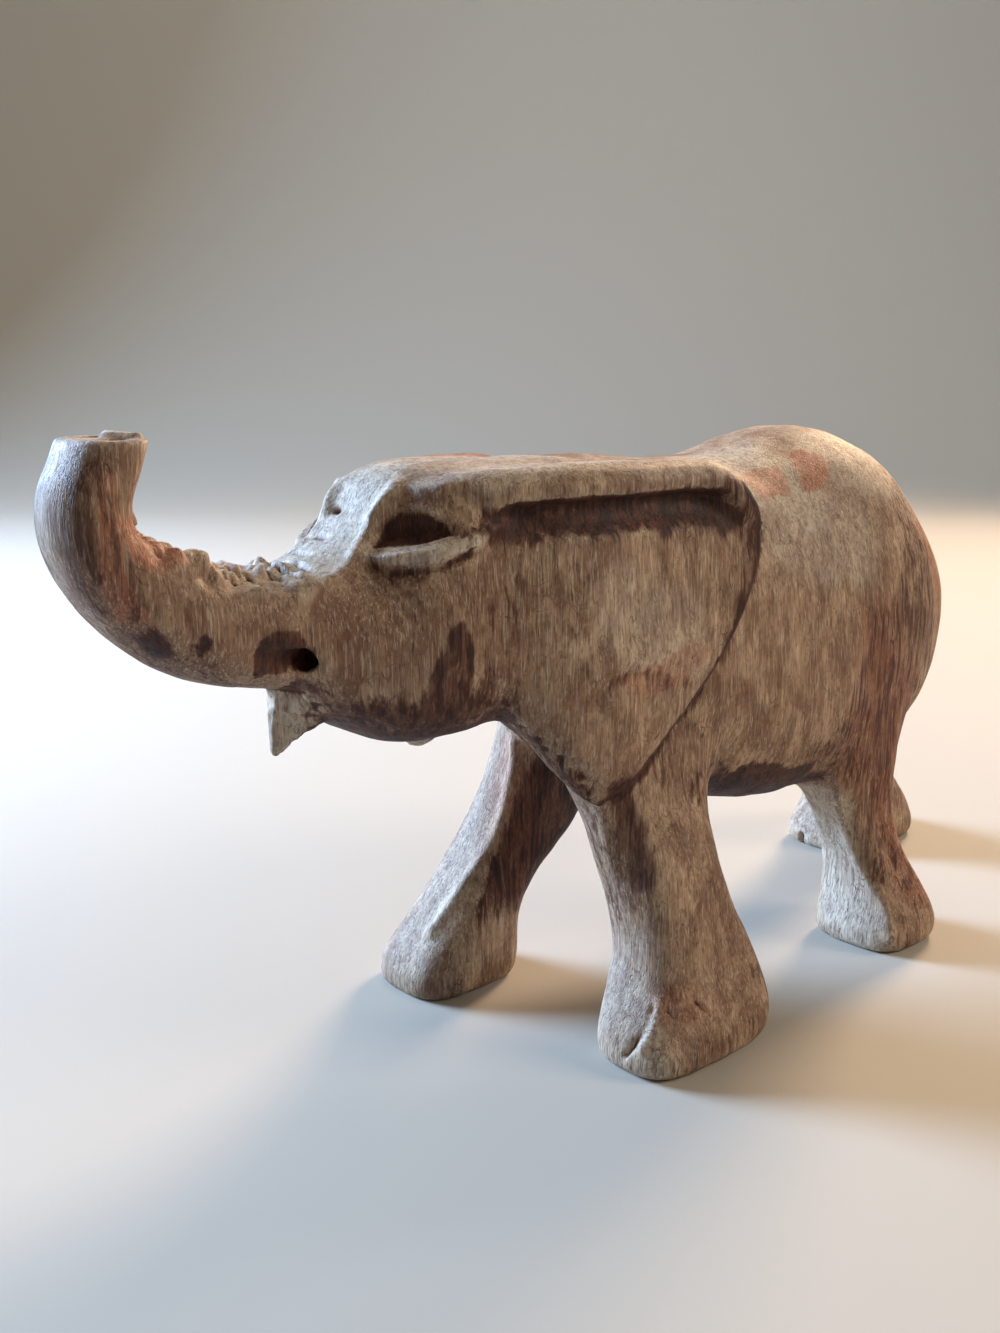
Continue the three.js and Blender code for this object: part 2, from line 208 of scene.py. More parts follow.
def inset(points, corners, reach):
    """How far inside the outline of a patch each point lies; below zero outside it or beyond reach of its plane."""
    corners = np.asarray(corners, float)
    middle = corners.mean(axis=0)
    axes = np.linalg.svd(corners - middle)[2]
    flat, outline = (points - middle) @ axes[:2].T, (corners - middle) @ axes[:2].T
    within = np.zeros(len(points), bool)
    gap = np.full(len(points), np.inf)
    for start, stop in zip(outline, np.roll(outline, -1, axis=0)):
        spans = (start[1] > flat[:, 1]) != (stop[1] > flat[:, 1])
        slope = (stop[0] - start[0]) / (stop[1] - start[1] + 1e-9)
        within ^= spans & (flat[:, 0] < start[0] + (flat[:, 1] - start[1]) * slope)
        gap = np.minimum(gap, distance_to_line(flat, [start, stop]))
    off_plane = np.abs((points - middle) @ axes[2])
    return np.where(within, gap, -gap) - 4 * np.clip(off_plane - reach, 0, None)


print("a rope fades between 0.4 and 1.6 of its radius")

# %% [markdown]
# ## Rounding the block
# Rubbing down evenly would shrink thin limbs along with the facets. So the block is smoothed, the loss is
# measured, and the broad part of that loss is given back: only the facets go. Where the carver left a crisp
# edge, such as the ear's rim, the eye or the sawn trunk tip, the rasp goes easy. Where two masses meet, such as
# leg and shoulder, it works longer, until they flow together.

# %% Rasp the facets away
spots = per_cent(rough)
crisp_lines = [  # line, radius, share of the rasp's work that is kept off
    ([(-80, -16, 91), (-70, -21, 89), (-50, -25, 89), (-36, -25, 88)], 7, 0.93),
    ([(-34, -25, 90), (-29.5, -25, 82), (-36, -25, 66), (-48, -25, 52), (-60.6, -24, 44)], 5, 0.97),
    ([(-73, -17, 58), (-66, -22, 50), (-60.6, -24, 44)], 3.6, 0.95),
    ([(-90, -11, 86), (-84, -15, 87), (-79, -18, 86)], 8, 0.97),
    ([(-86.8, -8, 93), (-90.6, -9, 89.6), (-94, -9, 85.6), (-98.8, -9, 81.5), (-104, -8.6, 80)], 2, 0.75),
    ([(-106, -10, 70), (-101, -8, 70)], 3.6, 0.95),
    ([(-125, -4, 101), (-125, 4, 101)], 8, 0.97),
    ([(-102, 0, 64), (-101, 0, 54)], 7, 0.95),
    ([(-45, 12, 5.5), (-45.5, 12, 0)], 2.4, 0.9),
    ([(49.5, 19, 3), (49.5, 19, 0)], 2.4, 0.9),
]
crispness = np.zeros(len(spots))
for line, radius, strength in crisp_lines:
    for side in both_sides(line):
        crispness = np.maximum(crispness, strength * rope(spots, side, radius, 0.3))
sole = 0.9 * (1 - ramp(spots[:, 2], 0.2, 1.2))  # keeps the soles flat and sharp-edged
crispness = np.maximum(crispness, sole)

passes = 70
rounded = smoothed(rough, edges, passes, 0.5 * (1 - crispness))
outward = read(carving, "normal")
loss = np.einsum("ij,ij->i", rounded - rough, outward)
broad_loss = smoothed(loss, edges, passes * 4)
rounded -= outward * (broad_loss * (1 - crispness))[:, None]
write(carving, rounded)
print("facets moved by up to", round(float(np.abs(loss - broad_loss).max()) * 1000, 2), "mm")

# %% [markdown]
# Legs grow out of the flanks, the cheek runs into the neck, and the trunk out of the face. Each such seam gets
# its own extra passes inside a soft rope, which fills the crease as a carver does by never cutting one there.

# %% Blend the seams
seams = [  # line, radius
    ([(-50, -22, 55), (-38, -22, 45), (-56, -20, 44)], 9),
    ([(-60, 14, 54), (-40, 18, 48), (-22, 18, 48)], 9),
    ([(2, -20, 40), (16, -21, 44), (30, -20, 42)], 9),
    ([(24, 18, 44), (38, 19, 48), (50, 12, 50)], 8),
    ([(-94, -10, 76), (-97, -10, 70), (-96, -8, 63)], 6),
    ([(-94, 10, 76), (-97, 10, 70), (-96, 8, 63)], 6),
    ([(-101, 0, 81), (-96, -7, 80)], 5),
    ([(-75, -18, 80), (-75, -18, 70), (-75, -17, 62)], 4.5),
    ([(-75, 18, 80), (-75, 18, 70), (-75, 17, 62)], 4.5),
    ([(-62, -5, 60), (-62, 5, 60)], 12),
]
spots = per_cent(read(carving))
blending = np.zeros(len(spots))
for line, radius in seams:
    blending = np.maximum(blending, rope(spots, line, radius))
blending *= 1 - crispness
shaped = smoothed(read(carving), edges, passes * 2, 0.6 * blending)
write(carving, shaped)
print("blended", int((blending > 0.3).sum()), "points")

# %% [markdown]
# ## Unevenness by hand
# Nothing shaved by eye is even. A lattice of seeded random numbers, blended smoothly between its points, gives
# a gentle unevenness of any size: broad for the pull of the knife, small for nicks. The same lattice will later
# break up the edges of the stains.

# %% Seeded unevenness
CELLS = 64  # the lattice repeats after this many cells
LATTICE_SHIFT = 1000  # cells between the lattice's corner and the drawing's zero


def unevenness(points, size, seed):
    """Smooth random values between -1 and 1, in lumps about size per cent of the height wide."""
    lattice = np.random.default_rng(seed).uniform(-1, 1, (CELLS, CELLS, CELLS))
    scaled = np.asarray(points) / size + LATTICE_SHIFT
    low = np.floor(scaled).astype(int)
    part = scaled - low
    part = part * part * (3 - 2 * part)
    total = np.zeros(len(scaled))
    for corner in np.ndindex(2, 2, 2):
        weight = np.prod(np.where(corner, part, 1 - part), axis=1)
        x, y, z = ((low + corner) % CELLS).T
        total += weight * lattice[x, y, z]
    return total


def push(amount):
    """Moves every point along its normal, by per cent of the height, outwards where amount is above zero."""
    write(carving, read(carving) + read(carving, "normal") * (np.asarray(amount) * HEIGHT / 100)[:, None])


spots = per_cent(read(carving))
knife = 0.28 * unevenness(spots, 9, 1) + 0.14 * unevenness(spots * (1, 1, 0.6), 4, 2)
knife += 0.05 * unevenness(spots * (1, 1, 0.5), 1.6, 3)
push(knife * (1 - 0.7 * crispness) * ramp(spots[:, 2], 0, 2))
print("knife marks up to", round(float(np.abs(knife).max() * HEIGHT * 10), 2), "mm deep")

# %% [markdown]
# ## Wrinkles of the trunk
# The trunk's inner bend and the forehead above it carry cross cuts: short notches made with the corner of a
# chisel, a few millimetres apart, none of them quite parallel, with lumpy wood left between them. To place them, each
# point of the trunk is given its place along the trunk's middle line and how far it lies to the inside of the bend.

# %% Measure along the trunk
trunk_line = [(-98, 73.5), (-104.5, 73.9), (-111.5, 75.2), (-118, 77.9), (-123, 81.8),
              (-127.2, 87), (-127.8, 92.5), (-126, 97.2), (-125, 100)]  # x and z, from the face to the tip


def smooth_line(corners, steps=40):
    """A smooth curve through all the corners, as a closer row of points."""
    corners = np.asarray(corners, float)
    padded = np.vstack([2 * corners[0] - corners[1], corners, 2 * corners[-1] - corners[-2]])
    line = []
    for before, start, stop, after in zip(padded, padded[1:], padded[2:], padded[3:]):
        for t in np.linspace(0, 1, steps, endpoint=False):
            line.append(0.5 * (2 * start + (stop - before) * t + (2 * before - 5 * start + 4 * stop - after) * t**2
                               + (3 * start - before - 3 * stop + after) * t**3))
    return np.array(line + [corners[-1]])


spots = per_cent(read(carving))
line = smooth_line(trunk_line)
places = np.concatenate([[0], np.cumsum(np.linalg.norm(np.diff(line, axis=0), axis=1))])
heading = np.gradient(line, axis=0)
heading /= np.linalg.norm(heading, axis=1)[:, None]
inward = np.stack([heading[:, 1], -heading[:, 0]], axis=1)
on_trunk = np.where((spots[:, 0] < -92) & (spots[:, 2] > 66))[0]
nearest = np.array([], int)
for chunk in np.array_split(on_trunk, 40):  # a few at a time, to save memory
    gaps = spots[chunk][:, None, ::2] - line[None, :, :]
    nearest = np.concatenate([nearest, np.argmin((gaps**2).sum(2), axis=1)])
offset = spots[on_trunk][:, ::2] - line[nearest]
inside = (offset * inward[nearest]).sum(1)
across = spots[on_trunk][:, 1]
crest = inside / np.sqrt(inside**2 + across**2 + 1e-6)
along = places[nearest] + (offset * heading[nearest]).sum(1)
print("trunk is", round(float(places[-1]) * HEIGHT * 10), "mm along its middle")

# %% [markdown]
# A notch is a wedge cut across the crest of the bend, with a low burr thrown up beside it. Seeded dice give each one
# its depth, its width, how far down the sides it reaches, and the step to the next. The uncut wood between them is
# left lumpy, and all of it dies out before the sawn tip.

# %% Cut the trunk's wrinkles
SMOOTH_AT_TIP = 9  # per cent of the height that the last notch stays away from the tip

dice = np.random.default_rng(12)
notch_depth = np.zeros(len(on_trunk))
place = 1.0
while place < places[-1] - SMOOTH_AT_TIP:
    meander = 0.9 * unevenness(np.stack([across, along * 0, along * 0 + place * 7], axis=1), 4, 4)
    gap = np.abs(along - place - meander)
    deep = dice.uniform(0.8, 1.5)
    half_width = dice.uniform(0.55, 0.95)
    reach = dice.choice([0.45, 0.62, 0.72], p=[0.15, 0.45, 0.4]) if place > 14 else 0.72
    notch = deep * np.clip(1 - gap / half_width, 0, 1) - 0.25 * deep * np.exp(-((gap - 2 * half_width) / 0.7) ** 2)
    notch_depth = np.maximum(notch_depth, notch * ramp(crest, reach, reach + 0.25))
    place += dice.uniform(2.0, 5.2)
lumps = 1.5 * np.abs(unevenness(spots[on_trunk], 4.4, 21)) + 0.9 * np.abs(unevenness(spots[on_trunk], 1.9, 22))
wrinkled = ramp(along, 0, 4) * (1 - ramp(along, places[-1] - 12, places[-1] - 8))
wrinkles = np.zeros(len(spots))
wrinkles[on_trunk] = wrinkled * ramp(crest, 0.3, 0.72) * (1.5 * lumps - 0.35) - notch_depth
push(wrinkles)
print("wrinkles up to", round(float(-wrinkles.min()) * HEIGHT * 10, 1), "mm deep")

# %% [markdown]
# ## Cuts with a gouge
# A cut is a rope that lowers what it passes, with its own width and depth; a raised edge is the same rope with
# the sign turned. On the head it makes the forehead notches, the ridges beside them, the lines under the eye and the
# shallow dish before the tusk hole. The eye itself is a patch: its socket is sunk with a steep wall, and the crescent
# of the lid stays standing below it.

# %% Cut the head
def cut(line, width, depth, jitter=0.0):
    """A change that lowers the surface by depth along a line; jitter makes its edges wander."""
    def change(points):
        gap = distance_to_line(points, smooth_line(line, 6) if len(line) > 2 else line)
        gap = gap + jitter * unevenness(points, 1.5, 5)
        return -depth * np.exp(-((gap / width) ** 2))
    return change


def cut_both_sides(table):
    return [cut(side, *how) for line, *how in table for side in both_sides(line)]


def sink(corners, depth):
    """Sinks a patch below its surroundings by depth, with a steep wall."""
    return lambda points: -depth * ramp(inset(points, corners, 3.5), -0.4, 0.4)


forehead_notches = [  # line, width, depth, jitter
    ([(-89, 1, 88.4), (-88.8, 6.5, 88)], 0.55, 0.9, 0.4),
    ([(-92, 1.5, 85), (-91.8, 6.5, 84.8)], 0.6, 0.9, 0.4),
    ([(-95, 1, 82.7), (-94.8, 6.5, 82.6)], 0.5, 0.9, 0.4),
    ([(-98, 0, 81.7), (-98, 6.5, 81.6)], 0.45, 0.8, 0.4),
    ([(-101.2, -2, 81), (-101.2, 6, 81.2)], 0.45, 0.8, 0.4),
]
head = [cut(*notch) for notch in forehead_notches]
head += cut_both_sides([  # line, width, depth, jitter
    ([(-85.2, -6, 92), (-87.5, -6, 89.4), (-88.8, -5.8, 87.4), (-91, -5.9, 84.4), (-94, -7.2, 82.2),
      (-98, -7.8, 80.4), (-104, -8.4, 79)], 1.2, -0.6),
    ([(-91.4, -8.5, 82.5), (-89.5, -12.5, 78.7), (-87.1, -15.9, 74.8)], 0.35, 0.2, 0.2),
    ([(-93.8, -8.3, 80.7), (-92.1, -11.5, 76.8), (-90.2, -14.4, 72.9)], 0.35, 0.2, 0.2),
    ([(-92.6, -8.4, 81.6), (-90.8, -12.2, 78), (-88.9, -15, 74.6)], 0.35, 0.2, 0.2),
    ([(-88.6, -5.4, 88), (-86.7, -6.6, 90.4), (-84.6, -8.6, 91.6), (-82, -12, 91), (-79.5, -15.4, 89)], 1.1, -0.6),
    ([(-90, -11.4, 80.8), (-85.4, -15.6, 81.4), (-81, -17.3, 83.4)], 0.9, 0.35),
    ([(-84.6, -8.6, 90.8), (-87.4, -8, 88.6), (-90, -8, 86), (-91.8, -8.6, 84)], 1.3, 0.6),
    ([(-109.5, -9, 72), (-106, -9.4, 71.6), (-103.5, -9.4, 71)], 1.5, 0.9),
])
socket = [(-90.3, -7.7, 84.3), (-87.8, -7, 86.8), (-86.4, -8.7, 89.1), (-84.8, -11.2, 89), (-82.7, -14.1, 87.2),
          (-82.6, -15.7, 86), (-85.8, -13.4, 85), (-88.1, -10.9, 84.5)]
head += [sink(side, 0.5) for side in both_sides(socket)]
print("cut", len(head), "lines on the head")

# %% [markdown]
# The ear has two shallow folds, one raised swell, a full top corner, and an edge that stands proud of the shoulder: a
# groove is cut just behind its outline and a soft bead is left just inside it. The outline is drawn once, in the side
# view, and shifted to give both.

# %% Cut the ears
ear_edge = [(-33.2, 91), (-30.8, 87.4), (-29.6, 84.2), (-29.6, 80), (-30.8, 75.4), (-33.2, 70), (-36.2, 65),
            (-39.6, 60.6), (-43.8, 56.2), (-48, 52.2), (-53, 47.6), (-57, 44.2), (-60.4, 43.6)]


def beside(line, gap, level):
    """Shifts a line in the side view by gap, away from the ear's middle, and stands it level out from the centre."""
    line = np.asarray(line, float)
    along = np.gradient(line, axis=0)
    along /= np.linalg.norm(along, axis=1)[:, None]
    shifted = line + gap * np.stack([-along[:, 1], along[:, 0]], axis=1)
    return [(x, -level, z) for x, z in shifted]


ears = cut_both_sides([  # line, width, depth, jitter
    ([(-63, -24.6, 61.2), (-60, -25.2, 63.8), (-55.8, -25.6, 64.4), (-51.3, -25.9, 62.5), (-47, -25.8, 59.9)],
     1.1, 0.25, 0.5),
    ([(-35.9, -25.5, 86.5), (-37.2, -25.8, 83.9), (-37.8, -26.4, 79.1), (-38.6, -26.6, 73)], 1.1, 0.25, 0.5),
    ([(-63, -24.8, 66), (-52, -25.6, 68), (-43, -26, 65)], 2.2, -0.7),
    (beside(ear_edge, 0.7, 24), 0.9, 1.0),
    (beside(ear_edge, -1.2, 25.6), 1.2, -0.5),
])
ears.append(cut([(-35.6, -24.6, 88), (-33.4, -25, 86)], 1.8, -1.2))
print("cut", len(ears), "lines on the ears")

# %% [markdown]
# The legs carry long shallow hollows from a round gouge, with the ridges it left between them, the toe line and the
# nicks on the near front foot, and one drying crack in the far one. Last, all the changes are summed on the same
# points and pushed once, so that no cut shifts the place of another.

# %% Cut the legs
legs = [
    cut([(-58, -23, 46), (-54.6, -23.4, 38.5), (-53.2, -23.6, 32)], 2.2, 0.9),
    cut([(-53.2, -23.6, 32), (-52, -23.8, 25)], 2.4, 0.4),
    cut([(-59, -20.5, 44), (-56.6, -19.4, 37.5), (-54.4, -19.4, 31)], 1.1, -0.4),
    cut([(-51.6, -25.6, 44), (-50.2, -27, 36)], 1.5, -0.3),
    cut([(-53, -27, 10.8), (-54.5, -27, 8.2), (-55.9, -26, 5.4), (-56.8, -25, 3.2)], 0.55, 1.1, 0.2),
    cut([(-52, -27.6, 11.6), (-54, -28, 8), (-55.4, -27.4, 5)], 0.9, -0.5, 0.2),
    cut([(-51.7, -28.5, 11.2), (-51, -29.8, 9.6)], 0.4, 0.6, 0.1),
    cut([(-46.6, -30.7, 11.2), (-45.1, -31.3, 9.2)], 0.4, 0.7, 0.1),
    cut([(3, -20.6, 35), (5.9, -18.8, 29.9), (9.8, -18.6, 22.5), (12.4, -21, 14.6), (13.3, -25.4, 8.8),
         (12.3, -27.9, 3)], 1.2, -0.9),
    cut([(10, -13, 28), (12, -14, 18)], 2.4, 0.6),
    cut([(12, -23, 32), (14.6, -23.4, 24), (17.4, -26, 15)], 2.0, 0.7),
    cut([(-44.2, 14, 43), (-45.6, 13.4, 38.2), (-48.3, 13.2, 30.6), (-51.4, 14, 24.9), (-56, 16, 17.7),
         (-60, 18, 11)], 1.3, -1.0),
    cut([(-41.6, 12, 42), (-43, 12, 36), (-45, 12, 28), (-47.6, 12, 20)], 2.4, 0.7),
    cut([(5.8, -19, 30), (7, -14, 28.2)], 0.9, -0.5),
    cut([(-59.3, 12.6, 7.1), (-60.1, 12.6, 0.6)], 0.35, 0.3, 0.3),
]
spots = per_cent(read(carving))
push(sum(change(spots) for change in head + ears + legs))
print("cut", len(legs), "lines on the legs")

# %% [markdown]
# ## Chips and rough cuts
# The lower lip broke and was never smoothed: its side shows coarse chisel facets. The ear's front edge is chipped
# where it was split from the neck. Coarse unevenness inside a soft rope gives both. The trunk's sawn end split along
# the grain and left a sliver standing at the back, so a patch of that flat end is lifted by about a millimetre.

# %% Rough places
spots = per_cent(read(carving))
rough_lip = sum(rope(spots, side, 5.5) for side in both_sides([(-101, -4, 62), (-99, -5, 58)]))
chips = rough_lip * (0.45 * np.abs(unevenness(spots, 1.8, 6)) + 0.16 * np.abs(unevenness(spots * (1, 1, 0.5), 0.8, 7)))
for edge in both_sides([(-73.5, -15.7, 58.5), (-68.7, -20.8, 54.4), (-65.2, -22.3, 49.8), (-62.4, -22.7, 46.1)]):
    chips += rope(spots, edge, 1.6) * 0.7 * np.abs(unevenness(spots, 1.5, 8))
sliver = [(-124.8, 0.5, 100), (-121.5, -3.5, 100), (-119.5, 0, 100), (-120.5, 6, 100), (-122.5, 5, 100)]
SLIVER_HEIGHT = 0.6
lift = SLIVER_HEIGHT * ramp(inset(spots, sliver, 3), -0.2, 0.3) * ramp(read(carving, "normal")[:, 2], 0.6, 0.9)
push(lift - chips)
print("chipped", int((chips > 0.05).sum()), "points")

# %% [markdown]
# ## Hollows, and a lighter mesh
# How far a point lies below its surroundings says where stain and painted shade gather and where hands rub it off. It
# is measured here, while the skin is still fine. Then the skin is decimated: flat places lose triangles first, so the
# carving keeps its detail at a third of the weight, and each remaining point takes the hollow of its nearest old one.

# %% Measure the hollows and decimate
MOST_TRIANGLES = 190000

fine = read(carving)
fine[:, 2] = np.maximum(fine[:, 2], cad_box[0][2])
write(carving, fine)
normal = read(carving, "normal")
depths = []
for reach in (12, 70):  # passes of smoothing: a few find small hollows, many find large ones
    level = smoothed(fine, edges, reach)
    depths.append(np.einsum("ij,ij->i", level - fine, normal) * 1000)
tree = KDTree(len(fine))
for index, point in enumerate(fine):
    tree.insert(point, index)
tree.balance()

triangles = sum(len(face.vertices) - 2 for face in carving.data.polygons)
apply_modifier(carving, "DECIMATE", decimate_type="COLLAPSE", ratio=min(1.0, MOST_TRIANGLES / triangles))
carving.data.shade_smooth()
final = read(carving)
source = np.array([tree.find(point)[1] for point in final])
small_hollow, large_hollow = (depth[source] for depth in depths)
print("from", triangles, "to", sum(len(face.vertices) - 2 for face in carving.data.polygons), "triangles")

# %% [markdown]
# ## Where the stain and the painted shade sit
# The brown stain was wiped on and wiped off, so it stays in the ear's groove and the eye, and it ran down the cheek and
# the haunch in streaks.
# The same layer also holds painted shade: round the tusk hole, under the lid, behind the legs and beside the ear's
# edge, and, with stain, under the belly.
# Painting this on an image would tie it to a flat map. Stored as one number at each point, it follows the form from
# every side. First come the runs, drawn along lines. A seeded blur makes their edges ragged. The sharpest one is a dark
# line of painted shade and dirt just inside the ear's edge, with a painted shadow on the body beside it.

# %% Runs of stain and painted shade
RAGGED = 0.52  # how far the blur shifts a run's edge, in shares of its radius

spots = per_cent(final)
normal = read(carving, "normal")
blur = unevenness(spots * (1, 1, 0.45), 3.2, 9) + 0.6 * unevenness(spots * (1, 1, 0.4), 1.3, 10)
blotch = unevenness(spots, 6, 11) + 0.7 * unevenness(spots, 2.6, 12)

stain_and_shade_lines = [  # line, radius, strength
    ([(-76, -17.5, 86.4), (-67, -20.5, 86.6), (-57, -22.5, 86.8), (-45.2, -23.5, 86), (-37, -24.5, 85.4)], 2.7, 1.0),
    ([(-76, -18, 86), (-80, -17.5, 86.6), (-83, -16, 87)], 1.0, 0.8),
    ([(-125.6, -4.1, 76.8), (-122, -3.5, 73), (-117, -3.5, 70.4), (-111, -5, 68)], 2.3, 0.62),
    ([(-129.4, -6, 96.7), (-128.1, -7.7, 89.7), (-127, -7.8, 82.5), (-124, -7.2, 77.2)], 2.4, 0.5),
    ([(-78.5, -18.4, 77), (-78.5, -18.7, 71.3), (-77.7, -18.5, 62)], 1.5, 0.6),
    ([(-74.8, -18.7, 84), (-75.5, -19.1, 75.1), (-75.3, -18.9, 68), (-74.6, -18.2, 60)], 1.6, 0.55),
    ([(-98.3, -9.3, 62.5), (-91, -13.6, 61), (-83, -17, 61), (-77, -18, 61)], 2.6, 0.85),
    ([(8, -22, 60), (4.5, -23, 53.1), (2.3, -23, 46.1), (1.7, -21.3, 38)], 2.0, 0.62),
    ([(22, -20.3, 74), (18.6, -22, 61.8), (16, -22.4, 51), (14.2, -22, 40), (17, -23, 28), (19, -25, 16)], 2.4, 0.62),
    ([(30, -19, 74), (26.2, -21.1, 60.6), (22.6, -21.1, 47.8), (23, -21, 34)], 2.2, 0.6),
    ([(-57.4, -23.2, 47), (-54.2, -23.6, 38), (-52.6, -24, 31)], 2.4, 0.85),
    ([(-52.6, -24, 31), (-51.4, -24.4, 23)], 1.8, 0.45),
    # Painted shade: a soft line under the lid.
    ([(-89.4, -11.8, 80), (-85.4, -15.4, 81), (-81.1, -17.2, 82.8)], 0.9, 0.36),
    ([(-30.1, -20.8, 43.9), (-32.4, -21.1, 45.8), (-34.5, -21.8, 45.2), (-36, -22.5, 43.6),
      (-38.5, -23.1, 45)], 0.5, 0.8),
    ([(-38.5, -23.1, 45), (-40.5, -23.5, 43.4), (-41.3, -23.5, 42.7), (-41.6, -23.6, 40)], 0.5, 0.75),
    ([(-36, -22.8, 43.4), (-37.3, -23.3, 41.8), (-39.5, -23.8, 40.5), (-41.8, -24, 37.6), (-42, -24.4, 35)], 0.5, 0.7),
    ([(-59, -24.4, 46), (-52, -24.6, 47.5), (-46.7, -25, 47)], 2.2, 0.62),
    ([(-63, -24.6, 61.2), (-60, -25.2, 63.8), (-55.8, -25.6, 64.4), (-51.3, -25.9, 62.5), (-44, -25.8, 61)], 1.2, 0.5),
    ([(-54, -27.4, 10), (-56, -26.2, 5)], 0.7, 0.85),
    ([(-52, -30, 3), (-44, -32, 3), (-34, -32, 4), (-27, -31, 6)], 2.2, 0.5),
    ([(-74.5, -15, 57.6), (-68.5, -19.4, 52.8), (-64, -21.4, 47.4)], 1.7, 0.8),
    ([(-38, -25.5, 90.5), (-34, -25.8, 87), (-32, -26, 80), (-34, -26, 73)], 3.4, 0.7),
    # Painted shadow on the body just behind the ear's edge.
    (beside(ear_edge, 3, 22.6), 2.4, 0.34),
    ([(-71, -19, 91), (-56, -23, 91.4), (-44, -25, 91), (-37, -25.6, 90)], 1.4, 0.3),
    ([(27, -15, 84), (30, -18, 66), (26, -20, 48), (20, -22, 36)], 6.5, 0.5),
    # Painted shade along the near side of the trunk's front edge, which keeps the lit strip there narrow.
    ([(-131.4, -4.6, 96), (-131.6, -4.8, 87), (-128.3, -4.4, 79.4), (-122.6, -4, 73.4)], 2.6, 0.55),
    ([(-127.4, -5.4, 78.4), (-121.4, -5, 73.4), (-114, -4.6, 69.4), (-108, -5, 67.4)], 3.2, 0.45),
    # Painted shade: the inside of the tusk hole is made dark.
    ([(-103, -10, 71), (-99, -3, 70)], 1.9, 1.0),
    # Painted shadow: a thin dark line on the body, where it shows beside the ear's edge.
    ([(-21.2, -19.3, 81.4), (-24, -21.2, 77), (-30.8, -23, 68), (-36.5, -23.2, 62.4), (-41.5, -22.3, 55.7),
      (-46.7, -22.5, 51.6), (-51, -22.8, 48), (-54.9, -22.7, 45.4)], 0.8, 0.85),
    ([(-61, -19, 44), (-56.6, -17.4, 34), (-54, -17, 22)], 4.4, 0.5),
    ([(-98.6, -5.4, 62.2), (-98.2, -4, 59)], 1.6, 0.5),
    # Stain and painted shade along the belly.
    ([(-24, -18, 44), (-16, -20, 41), (-6, -20, 40), (2, -20, 40)], 2.6, 0.5),
    ([(-50, -24, 47), (-44, -24, 46), (-38, -23, 42)], 2.6, 0.42),
    ([(-30, -29, 14), (-32, -30, 8), (-30, -31, 3)], 3.0, 0.42),
    ([(18, -28, 8), (14, -29, 2)], 2.6, 0.42),
    ([(-60, 26, 4), (-46, 14, 6)], 2.2, 0.42),
]
stain_and_shade = np.zeros(len(spots))
for line, radius, strength in stain_and_shade_lines:
    for side in both_sides(line):
        gap = distance_to_line(spots, side) + RAGGED * radius * blur
        stain_and_shade = np.maximum(stain_and_shade, strength * (1 - ramp(gap, radius * 0.3, radius * 1.8)))
# Painted shade and dirt: a dark line just inside the ear's edge, where the edge rolls away.
ear_line = distance_to_line(spots * (1, 0, 1), beside(ear_edge, -1.0, 0))
ear_line[np.abs(spots[:, 1]) < 16] += 99.0  # the ears only, not the body between them
stain_and_shade = np.maximum(stain_and_shade, 1.0 - ramp(ear_line, 0.6, 1.2))
print("drew", len(stain_and_shade_lines), "runs")

# %% [markdown]
# Where stain dried as a spot or filled a hollow, it has an outline: the eye socket, three spots on the trunk and the
# dark run on the cheek.
# Painted shade has outlines too: the dish before the tusk hole, and the band under the belly, which is stain and
# painted shade.

# %% Patches of stain and painted shade
stain_and_shade_patches = [  # corners, strength
    (socket, 1.0),
    # Painted shade: the dish before the tusk hole.
    ([(-109.5, -9.5, 74), (-107.5, -9.6, 75.2), (-103.9, -9.9, 74.5), (-102.6, -9.6, 72), (-102.6, -8, 69.4),
      (-105.1, -7.8, 69.6), (-108.8, -8.2, 69.3), (-109.8, -7.4, 68.6), (-110.1, -8.8, 70.9)], 0.95),
    ([(-124.9, -6, 76.4), (-123.7, -7.6, 77.4), (-121.7, -7.8, 75.9), (-120.7, -7.2, 73.9), (-121, -5.4, 72.6),
      (-122.2, -3.8, 72.8), (-123.9, -4, 74.4)], 1.0),
    ([(-118.6, -8.1, 74), (-118.5, -8.6, 75.3), (-117.2, -8.9, 76.1), (-116, -8.9, 75), (-116.1, -8.6, 73.5),
      (-116.9, -7.9, 72.4), (-118, -7.7, 72.6)], 1.0),
    ([(-115.7, -8.2, 72.3), (-114.6, -8.2, 71.6), (-114.6, -7.6, 70.7), (-115.5, -7.5, 71.1)], 1.0),
    ([(-85, -17.2, 73.6), (-82.7, -17.8, 75), (-81, -18.2, 70.3), (-80.8, -17.8, 64.6), (-81, -15.8, 58.6),
      (-90, -14.6, 60.4), (-88.4, -16, 65.2), (-87.2, -16.8, 69.3)], 0.85),
    # Stain and painted shade: the band under the belly.
    ([(-27.6, -19.5, 41.3), (-26, -21.2, 43.4), (-21, -21.9, 43.2), (-12, -21.1, 40.4), (-4, -21, 39.6),
      (-3, -19.3, 36), (-12, -17, 34), (-24.6, -15, 34)], 1.0),
]
for corners, strength in stain_and_shade_patches:
    for side in both_sides(corners):
        stain_and_shade = np.maximum(stain_and_shade, strength * ramp(inset(spots, side, 3) + 0.4 * blur, -0.5, 0.4))
print("drew", len(stain_and_shade_patches), "patches")

# %% [markdown]
# Other darkening follows the form itself. Where the wood faces down it is stain and painted shade; on the faces that
# the legs turn to each other and on the back of the far foreleg it is painted shade. It also lies on the side of the
# hind leg, and, as stain and painted shade, in every hollow.
# Down the haunch the stain dripped, and there it also stands for painted shade. The fronts of two legs, where the
# window light falls, and the tip of the far ear are kept clear of it.

